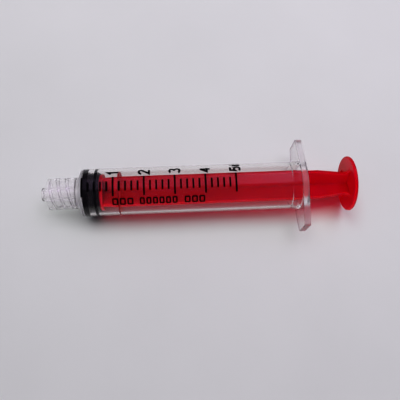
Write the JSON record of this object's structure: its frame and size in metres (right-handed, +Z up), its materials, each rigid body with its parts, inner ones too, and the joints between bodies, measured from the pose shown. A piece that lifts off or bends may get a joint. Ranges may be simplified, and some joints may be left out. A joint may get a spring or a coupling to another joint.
{
  "type": "luer lock syringe",
  "caption": "Clear threaded-collar syringe with a ribbed red plunger pushed home, black rubber stopper, oval finger flange and a printed millilitre scale.",
  "frame": {"origin": "centre of the nozzle's tip face, on the syringe's axis", "axes": "+X along the syringe's axis from the nozzle towards the thumb disc, +Y along the finger flange, +Z up out of the printed side"},
  "size_m": [0.0905, 0.0266, 0.0162],
  "materials": {
    "clear_plastic": "clear, smooth moulded polypropylene",
    "black_rubber": "smooth, slightly glossy where it is wiped by the bore",
    "red_plastic": "solid red, semi-gloss moulded",
    "black_ink": "printed ink film"
  },
  "bodies": {
    "barrel": {"barrel": "clear_plastic", "graduation_lines": "black_ink", "graduation_numbers": "black_ink", "notice_blocks": "black_ink"},
    "stopper": {"stopper": "black_rubber"},
    "plunger_rod": {"plunger_rod": "red_plastic"}
  },
  "joints": [
    {"name": "plunger_slide", "type": "slide", "parent": "barrel", "child": "stopper", "axis": [1, 0, 0], "range_m": [0, 0.049]},
    {"name": "rod_twist", "type": "hinge", "parent": "stopper", "child": "plunger_rod", "pos_m": [0.0184, 0, 0], "axis": [1, 0, 0], "continuous": true}
  ]
}
